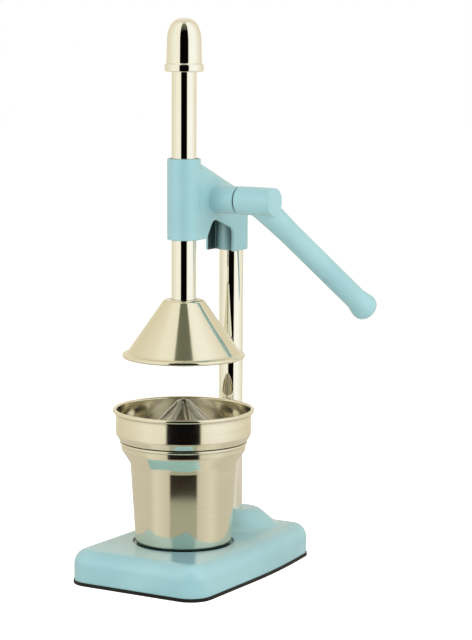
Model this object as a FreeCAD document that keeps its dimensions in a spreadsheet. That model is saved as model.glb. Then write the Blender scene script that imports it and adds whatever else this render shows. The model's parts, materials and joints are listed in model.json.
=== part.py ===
import FreeCAD, Part
import math
import os
import re
import Sketcher
from FreeCAD import Placement, Rotation, Vector

# Stand-mounted lever citrus press, in millimetres.
# The origin is on the table under the ram. +Z is up, the front of the press is -Y,
# the column stands behind the ram at +Y, and the lever is on the +X side.

SIZES = {
    # Rubber mat and enamelled base
    "mat_thick": 2.8,
    "mat_proud": 0.6,
    "base_half_width": 63.0,
    "base_front": 78.0,
    "base_taper_start": 45.0,
    "base_behind_column": 43.5,
    "base_rear_narrowing": 9.5,
    "base_top": 28.0,
    "base_front_round": 18.0,
    "base_side_round": 600.0,
    "base_rear_round": 14.0,
    "base_edge_round": 12.0,
    "base_wall": 4.0,
    "recess_margin": 2.5,
    "recess_depth": 1.7,
    # Hump of the base round the column
    "hump_rise": 14.3,
    "hump_set_back": 4.0,
    "hump_foot_half_width": 40.0,
    "hump_foot_half_depth": 27.0,
    "hump_crown_half_width": 21.0,
    "hump_crown_half_depth": 16.5,
    "hump_crown_round": 12.0,
    "hump_foot_round": 12.0,
    "hump_foot_corner": 25.0,
    "hump_crown_corner": 15.0,
    # Mat screws
    "mat_screw_radius": 2.0,
    "mat_screw_head": 4.0,
    "mat_screw_sink": 0.7,
    "mat_socket_radius": 1.4,
    "mat_socket_depth": 1.0,
    "mat_screw_length": 13.0,
    "mat_boss_radius": 5.5,
    "mat_screw_side_margin": 19.0,
    "mat_screw_front_margin": 18.0,
    "mat_screw_rear_margin": 25.5,
    "mat_screw_rear_side_margin": 15.5,
    # Column
    "column_clearance": 6.35,
    "column_radius": 10.0,
    "column_wall": 1.5,
    "column_seat_floor": 7.0,
    "column_cover": 1.3336,
    "column_boss_wall": 6.0,
    "column_boss_foot": 13.0,
    "column_plug_length": 24.0,
    "column_bolt_radius": 4.0,
    "column_bolt_head_radius": 6.5,
    "column_bolt_head": 5.0,
    "column_bolt_bite": 18.0,
    "bolt_socket_radius": 3.2,
    "bolt_socket_depth": 3.0,
    "column_washer_radius": 9.0,
    "column_washer_thick": 1.6,
    # Ram
    "ram_radius": 10.0,
    "ram_wall": 2.0,
    "ram_foot_below_pinion": 79.6,
    "ram_length": 202.6,
    "ram_end_plug_length": 13.0,
    "ram_top_plug_length": 28.0,
    # Rack and pinion
    "gear_module": 1.5,
    "pinion_teeth": 24,
    "gear_width": 8.0,
    "gear_backlash": 0.2,
    "pressure_angle": 20,
    "gear_root_depth": 1.25,
    "rack_width": 9.0,
    "rack_bar_front": -2.0,
    "rack_reach_below": 62.0,
    "rack_reach": 147.0,
    "pinion_height": 307.0,
    "shaft_radius": 5.0,
    "key_width": 3.0,
    "key_length": 7.0,
    "key_depth": 1.8,
    "key_rise": 1.4,
    # Head casting
    "sleeve_wall": 3.6,
    "sleeve_foot_below_pinion": 31.6,
    "sleeve_top_drop": 1.6,
    "web_start": 4.2,
    "web_front_narrowing": 0.8,
    "web_swell_length": 12.0,
    "web_swell_round": 60.0,
    "web_over_gear": 15.3,
    "web_slope": 0.414,
    "web_round": 10.0,
    "head_wall": 3.0,
    "rear_sleeve_wall": 2.6,
    "rear_sleeve_foot_below_pinion": 45.7,
    "arch_front_top_y": 24.3,
    "arch_front_top_below_pinion": 15.5,
    "arch_front_round": 8.0,
    "arch_rear_clear": 19.0,
    "arch_rear_top_below_pinion": 26.7,
    "arch_rear_round": 5.0,
    "boss_radius": 11.25,
    "boss_end": 35.4,
    "left_boss_radius": 9.0,
    "left_boss_end": 16.6,
    "inner_boss_radius": 8.5,
    "gear_side_gap": 0.5,
    "gear_tip_gap": 0.8,
    # Bushes
    "ram_bush_wall": 1.5,
    "upper_bush_length": 16.0,
    "lower_bush_length": 14.5,
    "ram_bush_inset": 1.2,
    "shaft_bush_wall": 2.0,
    "shaft_bush_inset": 1.0,
    # Set screws at the back of the head
    "head_screw_radius": 3.0,
    "head_screw_pad_radius": 5.5,
    "head_screw_pad": 2.0,
    "head_screw_sink": 0.3,
    "head_screw_low_rise": 8.7,
    "head_screw_spacing": 20.0,
    "hex_socket_radius": 1.7,
    "hex_socket_depth": 2.5,
    # Lever
    "hub_radius": 11.5,
    "hub_start": 36.4,
    "hub_end": 69.5,
    "hub_round": 1.2,
    "shaft_in_hub": 22.0,
    "arm_start": 52.5,
    "arm_splay": 22.0,
    "arm_drop": 46.1,
    "arm_length": 145.0,
    "arm_radius": 9.4,
    "arm_root_radius": 11.0,
    "arm_root_length": 38.0,
    "arm_flare_radius": 11.3,
    "arm_flare_length": 19.0,
    "arm_flare_flat": 10.0,
    "arm_end_round": 8.0,
    "arm_tip_radius": 11.2,
    "arm_root_round": 60.0,
    "arm_flare_start_round": 14.0,
    "arm_flare_top_round": 10.0,
    "lever_screw_radius": 3.0,
    "lever_screw_length": 6.0,
    "lever_screw_along": 8.0,
    "shaft_flat_depth": 0.6,
    "hub_washer_radius": 10.4,
    "hub_washer_thick": 0.8,
    "shaft_washer_radius": 8.0,
    "shaft_washer_thick": 1.0,
    "ring_radius": 7.4,
    "ring_thick": 1.0,
    "ring_groove": 0.6,
    "ring_mouth": 5.0,
    "shaft_tail": 2.0,
    # Cap of the ram
    "cap_skirt": 20.0,
    "cap_collar_proud": 5.65,
    "cap_collar_height": 6.0,
    "cap_neck_proud": 4.2,
    "cap_shoulder_proud": 3.7,
    "cap_shoulder_drop": 12.0,
    "cap_shoulder_round": 25.0,
    "cap_rise": 22.4,
    "cap_dome_narrowing": 5.2,
    "cap_dome_round": 11.0,
    "cap_collar_foot_round": 1.2,
    "cap_collar_top_round": 1.6,
    "cap_neck_rise": 0.8,
    "cap_neck_round": 1.0,
    "cap_stud_radius": 4.0,
    "cap_stud_bite": 11.0,
    # Press cone
    "cone_wall": 1.2,
    "cone_top_proud": 5.8,
    "cone_foot_radius": 46.2,
    "cone_height": 43.8,
    "cone_lip_proud": 3.4,
    "cone_lip_drop": 2.6,
    "cone_lip_thick": 1.9,
    "cone_shoulder_round": 4.0,
    "cone_foot_round": 1.4,
    "cone_lip_round": 0.7,
    "cone_screw_radius": 3.0,
    "cone_screw_head_radius": 5.2,
    "cone_screw_head": 4.0,
    "cone_screw_bite": 10.0,
    "cone_washer_radius": 9.0,
    "cone_washer_thick": 1.5,
    # Juice cup
    "cup_wall": 0.8,
    "cup_foot_radius": 39.0,
    "cup_foot_round": 4.0,
    "cup_flare": 4.3,
    "cup_waist_below_top": 18.7,
    "cup_waist_round": 9.0,
    "cup_shoulder_step": 7.2,
    "cup_shoulder_below_top": 7.7,
    "cup_shoulder_round": 3.0,
    "cup_height": 85.85,
    "cup_rim_spread": 0.4,
    # Strainer bowl
    "strainer_wall": 0.8,
    "strainer_skirt_depth": 3.8,
    "strainer_skirt_gap": 0.5,
    "strainer_seat_proud": 1.4,
    "strainer_band_proud": 3.2,
    "strainer_band_rise": 5.2,
    "strainer_rise": 25.9,
    "bead_proud": 2.55,
    "bead_height": 3.2,
    "bead_round": 1.5,
    "strainer_floor_round": 1.6,
    "strainer_seat_round": 1.0,
    "strainer_band_round": 3.0,
    "hole_ring_spacing": 5.5,
    "outer_hole_margin": 5.7,
    "strainer_hole_radius": 1.6,
    "strainer_holes": 26,
    # Reamer
    "reamer_radius": 33.0,
    "reamer_rim": 3.0,
    "reamer_core_radius": 5.0,
    "reamer_core_height": 31.8,
    "reamer_waist_radius": 23.8,
    "reamer_waist_height": 14.3,
    "reamer_waist_round": 14.0,
    "reamer_rim_round": 1.0,
    "reamer_tip_round": 3.0,
    "reamer_rib_drop": 1.5,
    "reamer_rib_lift": 3.0,
    "reamer_height": 36.8,
    "reamer_rib_width": 3.2,
    "reamer_ribs": 8,
    "reamer_screw_radius": 2.5,
    "reamer_screw_head_radius": 4.5,
    "reamer_screw_head": 2.6,
    "reamer_screw_bite": 14.0,
    # Clearances, and how far cutting tools run past a face or into one
    "past": 1.0,
    "overlap": 0.01,
    "seat_gap": 0.05,
    "running_gap": 0.06,
    "screw_gap": 0.2,
    "cup_gap": 0.05,
}

DERIVED = {
    "column_distance": "bead_radius + column_radius + column_clearance",
    "base_rear": "column_distance + base_behind_column",
    "base_rear_half_width": "base_half_width - base_rear_narrowing",
    "recess_radius": "cup_foot_radius + recess_margin",
    "hump_top": "base_top + hump_rise",
    "hump_centre": "column_distance + hump_set_back",
    "mat_screw_side": "base_half_width - mat_screw_side_margin",
    "mat_screw_front": "base_front - mat_screw_front_margin",
    "mat_screw_rear": "base_rear - mat_screw_rear_margin",
    "mat_screw_rear_side": "base_rear_half_width - mat_screw_rear_side_margin",
    "column_foot": "column_boss_foot + column_seat_floor",
    "column_top": "web_top_at_back - head_wall - column_cover",
    "column_boss_radius": "column_radius + column_boss_wall",
    "ram_foot": "pinion_height - ram_foot_below_pinion",
    "ram_top": "ram_foot + ram_length",
    "rack_gaps_below": "floor(rack_reach_below / tooth_pitch)",
    "rack_gaps": "floor(rack_reach / tooth_pitch)",
    "sleeve_radius": "ram_radius + sleeve_wall",
    "sleeve_foot": "pinion_height - sleeve_foot_below_pinion",
    "sleeve_top": "web_top_at_axis - sleeve_top_drop",
    "web_top_at_axis": "pinion_height + gear_room_radius + web_over_gear",
    "rear_sleeve_radius": "column_radius + rear_sleeve_wall",
    "rear_sleeve_foot": "pinion_height - rear_sleeve_foot_below_pinion",
    "arch_front_top_z": "pinion_height - arch_front_top_below_pinion",
    "arch_rear_y": "column_distance - arch_rear_clear",
    "arch_rear_top_z": "pinion_height - arch_rear_top_below_pinion",
    "head_screw_low": "rear_sleeve_foot + head_screw_low_rise",
    "head_screw_high": "head_screw_low + head_screw_spacing",
    "cap_foot": "ram_top - cap_skirt",
    "cap_top": "ram_top + cap_rise",
    "cap_collar_radius": "ram_radius + cap_collar_proud",
    "cap_neck_radius": "ram_radius + cap_neck_proud",
    "cap_shoulder_radius": "ram_radius + cap_shoulder_proud",
    "cap_shoulder": "cap_top - cap_shoulder_drop",
    "cap_dome_radius": "cap_shoulder_radius - cap_dome_narrowing",
    "cone_top_radius": "ram_radius + cone_top_proud",
    "cone_foot": "ram_foot - cone_height",
    "cone_lip_radius": "cone_foot_radius + cone_lip_proud",
    "cone_lip_foot": "cone_foot - cone_lip_drop",
    "cup_top": "cup_base + cup_height",
    "cup_waist": "cup_top - cup_waist_below_top",
    "cup_waist_radius": "cup_foot_radius + cup_flare",
    "cup_shoulder": "cup_top - cup_shoulder_below_top",
    "cup_shoulder_radius": "cup_waist_radius + cup_shoulder_step",
    "strainer_floor": "cup_top - strainer_skirt_depth",
    "strainer_skirt_radius": "cup_shoulder_radius - cup_wall - strainer_skirt_gap",
    "strainer_seat_radius": "cup_shoulder_radius + strainer_seat_proud",
    "strainer_band_radius": "strainer_seat_radius + strainer_band_proud",
    "strainer_band_foot": "cup_top + strainer_band_rise",
    "strainer_top": "cup_top + strainer_rise",
    "bead_radius": "strainer_band_radius + bead_proud",
    "outer_hole_ring": "strainer_skirt_radius - outer_hole_margin",
    "inner_hole_ring": "outer_hole_ring - hole_ring_spacing",
    "reamer_core_top": "reamer_foot + reamer_core_height",
    "reamer_rib_tip": "reamer_foot + reamer_height",
    "pitch_radius": "gear_module * pinion_teeth / 2",
    "tooth_pitch": "gear_module * pi",
    "rack_pitch_line": "ram_radius - gear_module",
    "pinion_back": "rack_pitch_line + pitch_radius",
    "gear_tip_radius": "pitch_radius + gear_module",
    "gear_room_radius": "gear_tip_radius + gear_tip_gap",
    "gear_room_half": "gear_width / 2 + gear_side_gap",
    "rack_strip_foot": "pinion_height - (rack_gaps_below + 1) * tooth_pitch",
    "rack_strip_length": "(rack_gaps + 1) * tooth_pitch",
    "rack_bar_back": "sqrt(ram_bore ^ 2 - rack_width ^ 2 / 4) - seat_gap * 4",
    "rack_foot": "ram_foot + ram_end_plug_length",
    "rack_top": "ram_top - ram_top_plug_length",
    "ram_bore": "ram_radius - ram_wall",
    "ram_bush_radius": "ram_radius + running_gap + ram_bush_wall",
    "shaft_bush_radius": "shaft_radius + running_gap + shaft_bush_wall",
    "head_back": "column_distance + sleeve_radius",
    "web_top_at_back": "web_top_at_axis - web_slope * head_back",
    "column_bore": "column_radius - column_wall",
    "recess_floor": "base_top - recess_depth",
    "cup_base": "recess_floor + cup_gap",
    "strainer_ledge": "cup_top + cup_gap",
    "cone_slope": "(cone_foot_radius - cone_top_radius) / (ram_foot - cone_foot)",
    "cone_across": "cone_wall * sqrt(1 + cone_slope ^ 2)",
    "shaft_left": "left_boss_end + shaft_washer_thick + ring_thick + shaft_tail + 2 * running_gap",
    "shaft_right": "hub_start + shaft_in_hub",
    "lever_screw_x": "hub_start + lever_screw_along",
    "reamer_foot": "strainer_floor + strainer_wall",
}

doc = FreeCAD.newDocument("citrus_press")
sheet = doc.addObject("Spreadsheet::Sheet", "Sizes")
for row, (alias, value) in enumerate(SIZES.items(), start=1):
    sheet.set("A%d" % row, alias)
    sheet.set("B%d" % row, str(value))
    sheet.setAlias("B%d" % row, alias)
doc.recompute()

WORD = re.compile(r"[a-z_]+")
PARTS = []


def spell(text):
    """Writes a formula of size names as an expression on the sheet's cells."""
    def swap(match):
        word = match.group(0)
        if word in DERIVED:
            return "(" + spell(DERIVED[word]) + ")"
        if word in SIZES:
            return "Sizes." + word
        return word
    return WORD.sub(swap, str(text))


def size(text):
    """The number that a formula of size names gives."""
    return float(sheet.evalExpression(spell(text)))


def bind(obj, **formulas):
    """Ties properties to the sheet; x, y and z stand for the object's place."""
    for key, text in formulas.items():
        path = "Placement.Base." + key if key in ("x", "y", "z") else key
        obj.setExpression(path, spell(text))
    return obj


TURNS = {
    "Z": Rotation(),
    "X": Rotation(Vector(0, 1, 0), 90),
    "Y": Rotation(Vector(1, 0, 0), -90),
}


def rod(name, radius, length, x="0", y="0", z="0", along="Z"):
    """A cylinder that starts at x, y, z and runs along +X, +Y or +Z."""
    obj = doc.addObject("Part::Cylinder", name)
    obj.Placement = Placement(Vector(), TURNS[along])
    return bind(obj, Radius=radius, Height=length, x=x, y=y, z=z)


def block(name, length, width, height, x, y, z):
    """A box with its low corner at x, y, z."""
    obj = doc.addObject("Part::Box", name)
    return bind(obj, Length=length, Width=width, Height=height, x=x, y=y, z=z)


def taper(name, low_radius, high_radius, length, x="0", y="0", z="0"):
    """A cone along +Z."""
    obj = doc.addObject("Part::Cone", name)
    return bind(obj, Radius1=low_radius, Radius2=high_radius, Height=length, x=x, y=y, z=z)


def hexagon(name, radius, length, x="0", y="0", z="0", along="Z"):
    """A hexagonal prism, for sockets."""
    obj = doc.addObject("Part::Prism", name)
    obj.Polygon = 6
    obj.Placement = Placement(Vector(), TURNS[along])
    return bind(obj, Circumradius=radius, Height=length, x=x, y=y, z=z)


def fuse(name, *shapes):
    obj = doc.addObject("Part::MultiFuse", name)
    obj.Shapes = list(shapes)
    obj.Refine = True
    return obj


def common(name, *shapes):
    obj = doc.addObject("Part::MultiCommon", name)
    obj.Shapes = list(shapes)
    return obj


def cut(name, base, *tools):
    obj = doc.addObject("Part::Cut", name)
    obj.Base = base
    obj.Tool = tools[0] if len(tools) == 1 else fuse(name + "_tools", *tools)
    return obj


def part(node, obj):
    """Names the finished sub-part; the name is its file's name."""
    obj.Label = node
    PARTS.append(obj)
    return obj


def plane_of(body, role):
    return next(o for o in body.Origin.OriginFeatures if o.Role == role)


def outline(body, name, role, corners, offset="0"):
    """A closed sketch through corners (across, up[, rounding]), each one tied to the sheet."""
    sketch = body.newObject("Sketcher::SketchObject", name)
    sketch.AttachmentSupport = [(plane_of(body, role), "")]
    sketch.MapMode = "FlatFace"
    if offset != "0":
        sketch.setExpression("AttachmentOffset.Base.z", spell(offset))
    texts = [(c[0], c[1], c[2] if len(c) > 2 else None) for c in corners]
    spots = [Vector(size(u), size(v), 0) for u, v, _ in texts]
    count = len(spots)
    ways = [(spots[(i + 1) % count] - spots[i]).normalize() for i in range(count)]
    setback = []
    for i in range(count):
        if texts[i][2] is None:
            setback.append(0.0)
            continue
        turn = ways[i - 1].getAngle(ways[i])
        setback.append(size(texts[i][2]) * math.tan(turn / 2))
    lines = []
    for i in range(count):
        low = spots[i] + ways[i] * setback[i]
        high = spots[(i + 1) % count] - ways[i] * setback[(i + 1) % count]
        lines.append(sketch.addGeometry(Part.LineSegment(low, high), False))
    here = len(lines)
    for i in range(count):
        before, after = lines[i - 1], lines[i]
        u, v, rounding = texts[i]
        if rounding is None:
            constrain(sketch, "Coincident", before, 2, after, 1)
            place(sketch, after, 1, u, v)
            continue
        left = ways[i - 1].cross(ways[i]).z > 0
        inward = Vector(-ways[i - 1].y, ways[i - 1].x, 0) * (1 if left else -1)
        start = spots[i] - ways[i - 1] * setback[i]
        end = spots[i] + ways[i] * setback[i]
        radius = size(rounding)
        centre = start + inward * radius
        middle = centre + (spots[i] - centre).normalize() * radius
        arc = sketch.addGeometry(Part.Arc(start, middle, end), False)
        first, last = (1, 2) if left else (2, 1)
        constrain(sketch, "Tangent", before, 2, arc, first)
        constrain(sketch, "Tangent", arc, last, after, 1)
        index = constrain(sketch, "Radius", arc, radius)
        sketch.setExpression("Constraints[%d]" % index, spell(rounding))
        dot = sketch.addGeometry(Part.Point(spots[i]), True)
        constrain(sketch, "PointOnObject", dot, 1, before)
        constrain(sketch, "PointOnObject", dot, 1, after)
        place(sketch, dot, 1, u, v)
    return sketch


def constrain(sketch, kind, *values):
    return sketch.addConstraint(Sketcher.Constraint(kind, *values))


def place(sketch, item, end, u, v):
    """Holds a point of a sketch at u, v."""
    for kind, text, axis in (("DistanceX", u, -2), ("DistanceY", v, -1)):
        if text == "0":
            constrain(sketch, "PointOnObject", item, end, axis)
            continue
        index = constrain(sketch, kind, -1, 1, item, end, size(text))
        sketch.setExpression("Constraints[%d]" % index, spell(text))


def new_body(name):
    return doc.addObject("PartDesign::Body", name)


def spun(name, corners, x="0", y="0"):
    """A body turned about the vertical axis from a profile of (radius, height) corners."""
    body = new_body(name)
    sketch = outline(body, name + "_profile", "XZ_Plane", corners)
    turn = body.newObject("PartDesign::Revolution", name + "_turn")
    turn.Profile = sketch
    turn.ReferenceAxis = (sketch, ["V_Axis"])
    turn.Angle = 360
    return bind(body, x=x, y=y)


def pad(body, name, role, corners, length, offset="0", middle=False):
    """An extrusion of an outline, added to a body."""
    sketch = outline(body, name + "_outline", role, corners, offset)
    feature = body.newObject("PartDesign::Pad", name)
    feature.Profile = sketch
    feature.setExpression("Length", spell(length))
    feature.Midplane = middle
    return feature


def round_edges(body, name, base, radius, wanted):
    """A fillet on the edges of the last feature whose middle and direction pass a test."""
    doc.recompute()
    names = []
    for index, edge in enumerate(base.Shape.Edges, start=1):
        mid = edge.valueAt((edge.FirstParameter + edge.LastParameter) / 2)
        if wanted(mid, edge):
            names.append("Edge%d" % index)
    feature = body.newObject("PartDesign::Fillet", name)
    feature.Base = (base, names)
    feature.setExpression("Radius", spell(radius))
    return feature


def level(edge, height):
    """True for an edge that lies at one height."""
    box = edge.BoundBox
    return abs(box.ZMin - height) < 0.01 and abs(box.ZMax - height) < 0.01


def plan_outline(grow):
    """Plan of the base, larger or smaller all round."""
    side = "base_half_width + " + grow
    rear_side = "base_rear_half_width + " + grow
    front = "-(base_front + " + grow + ")"
    rear = "base_rear + " + grow
    rear_round = "base_rear_round + " + grow
    front_round = "base_front_round + " + grow
    return [
        (side, front, front_round),
        (side, "base_taper_start", "base_side_round"),
        (rear_side, rear, rear_round),
        ("-(" + rear_side + ")", rear, rear_round),
        ("-(" + side + ")", "base_taper_start", "base_side_round"),
        ("-(" + side + ")", front, front_round),
    ]


# Where the mat screws stand
SCREW_SPOTS = [
    (sign + side, along)
    for sign in ("", "-")
    for side, along in (("mat_screw_side", "-mat_screw_front"), ("mat_screw_rear_side", "mat_screw_rear"))
]


def make_base():
    """Hollow enamelled casting: rounded plate, hump round the column, recess for the cup."""
    body = new_body("base_shell")
    plate = pad(body, "base_plate", "XY_Plane", plan_outline("0"), "base_top - mat_thick", "mat_thick")
    foot = hump_plan("hump_foot_half_width", "hump_foot_half_depth", "hump_foot_corner")
    loft_low = outline(body, "hump_foot", "XY_Plane", foot, "base_top - overlap")
    crown = hump_plan("hump_crown_half_width", "hump_crown_half_depth", "hump_crown_corner")
    loft_high = outline(body, "hump_crown", "XY_Plane", crown, "hump_top")
    hump = body.newObject("PartDesign::AdditiveLoft", "hump")
    hump.Profile = loft_low
    hump.Sections = [loft_high]
    hump.Ruled = True
    top = size("base_top")
    crown_edges = round_edges(body, "hump_crown_rounding", hump, "hump_crown_round",
                              lambda mid, edge: level(edge, size("hump_top")))
    edges = round_edges(body, "base_edge_rounding", crown_edges, "base_edge_round",
                        lambda mid, edge: level(edge, top) and outside_hump(mid))
    round_edges(body, "hump_foot_rounding", edges, "hump_foot_round",
                lambda mid, edge: level(edge, top) and not outside_hump(mid))
    hollow = new_body("base_hollow")
    pad(hollow, "base_hollow_pad", "XY_Plane", plan_outline("-base_wall"),
        "recess_floor - base_wall - mat_thick + past", "mat_thick - past")
    bosses = [rod("column_boss", "column_boss_radius", "base_top - column_boss_foot",
                  y="column_distance", z="column_boss_foot")]
    for index, (across, along) in enumerate(SCREW_SPOTS):
        bosses.append(rod("mat_boss_%d" % index, "mat_boss_radius", "recess_floor - mat_thick - 2 * past",
                          across, along, "mat_thick"))
    shell = cut("base_shell_cut", body, hollow)
    full = fuse("base_full", shell, *bosses)
    tools = [
        rod("cup_recess", "recess_radius", "hump_top", z="recess_floor"),
        rod("column_seat", "column_radius + seat_gap", "hump_top", y="column_distance", z="column_foot"),
        rod("column_bolt_hole", "column_bolt_radius + screw_gap", "hump_top",
            y="column_distance", z="column_boss_foot - past"),
    ]
    for index, (across, along) in enumerate(SCREW_SPOTS):
        tools.append(rod("mat_tap_%d" % index, "mat_screw_radius + seat_gap", "mat_screw_length",
                         across, along, "mat_screw_sink"))
    part("base_casting", cut("base_casting", full, *tools))


def hump_plan(half_width, half_depth, rounding):
    """Rounded rectangle about the hump's centre."""
    return [
        (half_width, "hump_centre - " + half_depth, rounding),
        (half_width, "hump_centre + " + half_depth, rounding),
        ("-" + half_width, "hump_centre + " + half_depth, rounding),
        ("-" + half_width, "hump_centre - " + half_depth, rounding),
    ]


def outside_hump(mid):
    """True beyond the foot of the hump."""
    across = abs(mid.x) > size("hump_foot_half_width + past")
    along = abs(mid.y - size("hump_centre")) > size("hump_foot_half_depth + past")
    return across or along


def make_mat():
    """Rubber sheet a little wider than the base, with its four countersunk screws."""
    sheet_body = new_body("mat_sheet")
    pad(sheet_body, "mat_pad", "XY_Plane", plan_outline("mat_proud"), "mat_thick")
    tools = []
    screws = []
    for index, (across, along) in enumerate(SCREW_SPOTS):
        drop = "mat_thick - mat_screw_sink"
        tools.append(rod("mat_hole_%d" % index, "mat_screw_head + screw_gap", "mat_thick + 2 * past",
                         across, along, "-past"))
        head = taper("mat_head_%d" % index, "mat_screw_head", "mat_screw_radius", drop,
                     across, along, "mat_screw_sink")
        shank = rod("mat_shank_%d" % index, "mat_screw_radius", "mat_screw_length - past",
                    across, along, "mat_screw_sink")
        slot = hexagon("mat_socket_%d" % index, "mat_socket_radius", "mat_socket_depth + seat_gap",
                       across, along, "mat_screw_sink - seat_gap")
        screws.append(cut("mat_screw_%d" % index, fuse("mat_screw_body_%d" % index, head, shank), slot))
    part("base_mat", cut("base_mat", sheet_body, *tools))
    part("mat_screws", fuse("mat_screws", *screws))


def make_column():
    """Chromed upright with its plugs, bolt and washer."""
    at = dict(y="column_distance")
    tube = cut("column_tube", rod("column_skin", "column_radius", "column_top - column_foot",
                                  z="column_foot", **at),
               rod("column_void", "column_bore", "column_top", z="column_foot - past", **at))
    part("column_tube", tube)
    plug = cut("column_lower_plug",
               rod("column_plug_blank", "column_bore - seat_gap", "column_plug_length",
                   z="column_foot", **at),
               rod("column_plug_tap", "column_bolt_radius + seat_gap", "column_bolt_bite + 2 * past",
                   z="column_foot", **at))
    part("column_lower_plug", plug)
    upper = rod("column_upper_plug", "column_bore - seat_gap", "column_top - rear_sleeve_foot",
                z="rear_sleeve_foot", **at)
    part("column_upper_plug", upper)
    washer_foot = "column_boss_foot - column_washer_thick"
    washer = cut("column_washer",
                 rod("column_washer_disc", "column_washer_radius", "column_washer_thick",
                     z=washer_foot, **at),
                 rod("column_washer_hole", "column_bolt_radius + screw_gap", "hump_top",
                     z="column_boss_foot - column_washer_thick - past", **at))
    part("column_washer", washer)
    head_foot = washer_foot + " - column_bolt_head"
    shank = rod("column_bolt_shank", "column_bolt_radius",
                "column_foot + column_bolt_bite - (" + head_foot + ")", z=head_foot, **at)
    head = rod("column_bolt_head", "column_bolt_head_radius", "column_bolt_head", z=head_foot, **at)
    socket = hexagon("column_bolt_socket", "bolt_socket_radius", "bolt_socket_depth + past",
                     z=head_foot + " - past", **at)
    part("column_bolt", cut("column_bolt", fuse("column_bolt_blank", shank, head), socket))


def side_profile(low, grow):
    """Side view of the head's web, made smaller all round by grow, down to low."""
    drop = "(" + grow + ") * sqrt(1 + web_slope ^ 2)"
    line = "web_top_at_axis - " + drop + " - web_slope * "
    return [
        ("web_start", low),
        ("head_back", low),
        ("head_back", line + "head_back"),
        ("web_start", line + "web_start"),
    ]


def make_head():
    """Head casting: ram sleeve, arched hollow web, column sleeve and shaft bosses."""
    side = new_body("web_side")
    pad(side, "web_side_pad", "YZ_Plane", side_profile("rear_sleeve_foot", "0"),
        "sleeve_radius * 2", middle=True)
    plan = new_body("web_plan")
    width = "sleeve_radius"
    front_width = "(sleeve_radius - web_front_narrowing)"
    swell_end = "web_start + web_swell_length"
    tail = "sleeve_radius - seat_gap"
    pad(plan, "web_plan_pad", "XY_Plane", [
        (front_width, "web_start"),
        (width, swell_end, "web_swell_round"),
        (width, "head_back", tail),
        ("-" + width, "head_back", tail),
        ("-" + width, swell_end, "web_swell_round"),
        ("-" + front_width, "web_start"),
    ], "sleeve_top", "past")
    web = new_body("web_body")
    web.BaseFeature = common("web_blank", side, plan)
    doc.recompute()
    base = web.Group[0]
    crown = round_edges(web, "web_rounding", base, "web_round", is_web_crown)
    inner_side = new_body("web_inner_side")
    pad(inner_side, "web_inner_side_pad", "YZ_Plane", side_profile("rear_sleeve_foot - past", "head_wall"),
        "(sleeve_radius - head_wall) * 2", middle=True)
    reach = rod("web_inner_reach", "column_distance", "sleeve_top")
    arch = new_body("web_arch")
    pad(arch, "web_arch_pad", "YZ_Plane", [
        ("sleeve_radius", "rear_sleeve_foot - 2 * past"),
        ("arch_rear_y", "rear_sleeve_foot - 2 * past"),
        ("arch_rear_y", "arch_rear_top_z", "arch_rear_round"),
        ("arch_front_top_y", "arch_front_top_z", "arch_front_round"),
        ("sleeve_radius", "sleeve_foot"),
    ], "sleeve_radius * 3", middle=True)
    front_cut = block("web_front_trim", "sleeve_radius * 3", "sleeve_radius",
                      "sleeve_foot - rear_sleeve_foot + past", "-sleeve_radius * 1.5", "0",
                      "rear_sleeve_foot - past")
    hollow = common("web_hollow", inner_side, reach)
    room = rod("gear_room", "gear_room_radius", "(sleeve_radius - head_wall) * 2",
               "-(sleeve_radius - head_wall)", "pinion_back", "pinion_height", "X")
    shell = cut("web_shell", web, hollow, arch, front_cut, room)
    pad_length = "sleeve_radius - column_radius + head_screw_pad - past"
    pad_start = "column_distance + column_radius + past"
    full = fuse(
        "head_full", shell,
        rod("ram_sleeve", "sleeve_radius", "sleeve_top - sleeve_foot", z="sleeve_foot"),
        rod("column_sleeve", "rear_sleeve_radius", "web_top_at_back - head_wall - rear_sleeve_foot",
            y="column_distance", z="rear_sleeve_foot"),
        rod("right_boss", "boss_radius", "boss_end - sleeve_radius + past", "sleeve_radius - past",
            "pinion_back", "pinion_height", "X"),
        rod("left_boss", "left_boss_radius", "left_boss_end - sleeve_radius + past", "-left_boss_end",
            "pinion_back", "pinion_height", "X"),
        rod("inner_right_boss", "inner_boss_radius", "sleeve_radius - gear_room_half", "gear_room_half",
            "pinion_back", "pinion_height", "X"),
        rod("inner_left_boss", "inner_boss_radius", "sleeve_radius - gear_room_half", "-sleeve_radius",
            "pinion_back", "pinion_height", "X"),
        rod("screw_pad_low", "head_screw_pad_radius", pad_length, "0", pad_start, "head_screw_low", "Y"),
        rod("screw_pad_high", "head_screw_pad_radius", pad_length, "0", pad_start, "head_screw_high", "Y"),
    )
    bush_bore = "ram_bush_radius + seat_gap"
    tools = [
        rod("ram_bore", bush_bore, "sleeve_top", z="sleeve_foot - past"),
        rod("gear_window", "gear_room_radius", "gear_room_half * 2", "-gear_room_half",
            "pinion_back", "pinion_height", "X"),
        rod("column_socket", "column_radius + seat_gap", "column_top - rear_sleeve_foot + past + seat_gap",
            y="column_distance", z="rear_sleeve_foot - past"),
        rod("shaft_bore", "shaft_bush_radius + seat_gap", "boss_end + left_boss_end + 2 * past",
            "-(left_boss_end + past)", "pinion_back", "pinion_height", "X"),
        rod("screw_tap_low", "head_screw_radius + seat_gap", "sleeve_radius", "0",
            "column_distance + column_radius - past", "head_screw_low", "Y"),
        rod("screw_tap_high", "head_screw_radius + seat_gap", "sleeve_radius", "0",
            "column_distance + column_radius - past", "head_screw_high", "Y"),
    ]
    part("head_casting", cut("head_casting", full, *tools))


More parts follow.
